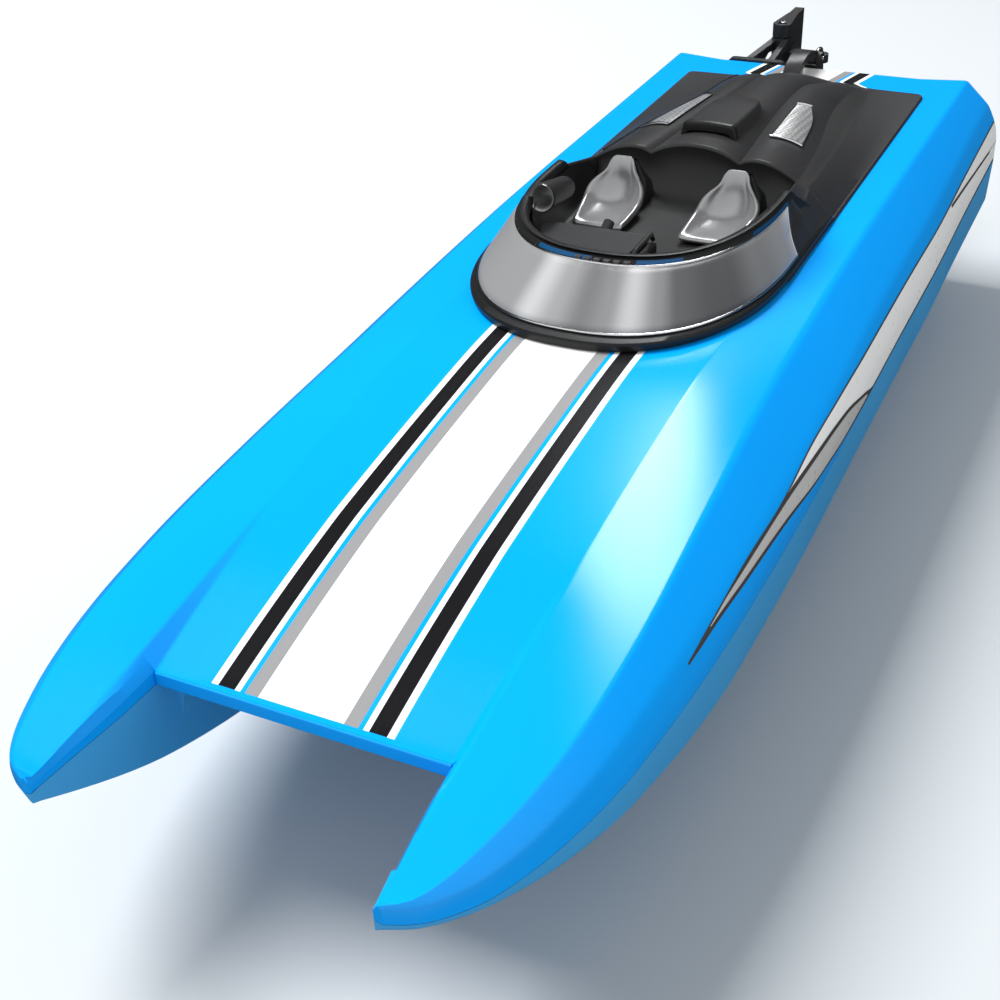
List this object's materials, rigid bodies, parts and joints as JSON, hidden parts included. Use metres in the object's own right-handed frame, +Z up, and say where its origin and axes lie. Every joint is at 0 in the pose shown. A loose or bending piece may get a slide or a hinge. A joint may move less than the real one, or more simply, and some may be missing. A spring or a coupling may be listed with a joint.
{
  "type": "rc boat",
  "caption": "Radio controlled twin-hull racing boat with lift-off canopy, two-seat cockpit, steered rudder, inclined propeller shaft, motor, steering servo and battery.",
  "frame": {"origin": "on the centreline, on the flat roof of the tunnel between the two hulls, 105 mm ahead of the transom's outer face and close to the boat's balance point; the keels are 8.5 mm below it", "axes": "+X towards the bow, +Y to port, +Z up"},
  "size_m": [0.3135, 0.0956, 0.0663],
  "materials": {
    "hull_blue": "glossy sky blue moulding with printed white, grey and black racing stripes",
    "lower_blue": "glossy deeper blue moulding below the seam",
    "canopy_black": "glossy charcoal grey moulding",
    "black_plastic": "satin black moulding",
    "rubber": "matt black rubber",
    "silver": "bright silver paint on plastic",
    "steel": "plain steel",
    "brass": "turned brass",
    "aluminium": "satin aluminium",
    "red_lead": "red insulation",
    "black_lead": "black insulation",
    "battery_wrap": "dark blue shrink wrap"
  },
  "bodies": {
    "hull": {"deck_shell": "hull_blue", "hull_bottom": "lower_blue", "hatch_seal": "rubber", "latch_base": "black_plastic", "latch_pin": "steel", "rudder_bracket": "black_plastic", "bracket_screw_left": "steel", "bracket_screw_right": "steel", "rudder_pin": "steel", "rod_grommet": "rubber", "servo_case": "black_plastic", "servo_cradle": "black_plastic", "servo_screw_front": "steel", "servo_screw_rear": "steel", "motor_can": "steel", "motor_end_cap": "black_plastic", "motor_mount": "aluminium", "motor_screw_left": "steel", "motor_screw_right": "steel", "mount_screw_left": "steel", "mount_screw_right": "steel", "stuffing_tube": "brass", "strut": "aluminium", "strut_screw_left": "steel", "strut_screw_right": "steel", "battery_pack": "battery_wrap", "battery_strap": "rubber", "control_box": "black_plastic", "antenna": "black_lead", "battery_lead_red": "red_lead", "battery_lead_black": "black_lead", "motor_lead_red": "red_lead", "motor_lead_black": "black_lead"},
    "canopy": {"canopy_cover": "canopy_black", "windshield_band": "silver", "cockpit_tub": "black_plastic", "dashboard": "black_plastic", "steering_bar": "canopy_black", "dash_handle": "canopy_black", "seat_left": "silver", "seat_right": "silver", "intake_tube": "canopy_black", "intake_liner": "silver", "air_scoop": "canopy_black", "grille_left": "silver", "grille_right": "silver"},
    "latch": {"canopy_latch": "canopy_black"},
    "rudder": {"rudder": "black_plastic"},
    "servo_horn": {"servo_horn": "aluminium", "horn_screw": "steel"},
    "pushrod": {"pushrod": "steel"},
    "drive_line": {"motor_shaft": "steel", "shaft_coupler": "aluminium", "drive_shaft": "steel", "drive_dog": "brass", "propeller": "black_plastic", "prop_nut": "steel"}
  },
  "joints": [
    {"name": "rudder_turn", "type": "hinge", "parent": "hull", "child": "rudder", "pos_m": [-0.122, -0.0152, 0.0315], "axis": [0, 0, 1], "range_deg": [-30, 30]},
    {"name": "servo_turn", "type": "hinge", "parent": "hull", "child": "servo_horn", "pos_m": [-0.075, -0.0152, 0.025], "axis": [0, 0, 1], "range_deg": [-30, 30]},
    {"name": "pushrod_pivot", "type": "hinge", "parent": "servo_horn", "child": "pushrod", "pos_m": [-0.075, -0.0042, 0.0269], "axis": [0, 0, 1], "range_deg": [-30, 30]},
    {"name": "drive_spin", "type": "hinge", "parent": "hull", "child": "drive_line", "pos_m": [-0.105, 0, -0.0024], "axis": [0.9889, 0, 0.1483], "continuous": true},
    {"name": "canopy_lift", "type": "slide", "parent": "hull", "child": "canopy", "axis": [0, 0, 1], "range_m": [0, 0.06]},
    {"name": "latch_swing", "type": "hinge", "parent": "hull", "child": "latch", "pos_m": [-0.1073, -0.0036, 0.0335], "axis": [0, -1, 0], "range_deg": [0, 80]}
  ],
  "couplings": [
    {"joint": "servo_turn", "follows": "rudder_turn", "ratio": 1},
    {"joint": "pushrod_pivot", "follows": "rudder_turn", "ratio": -1}
  ]
}
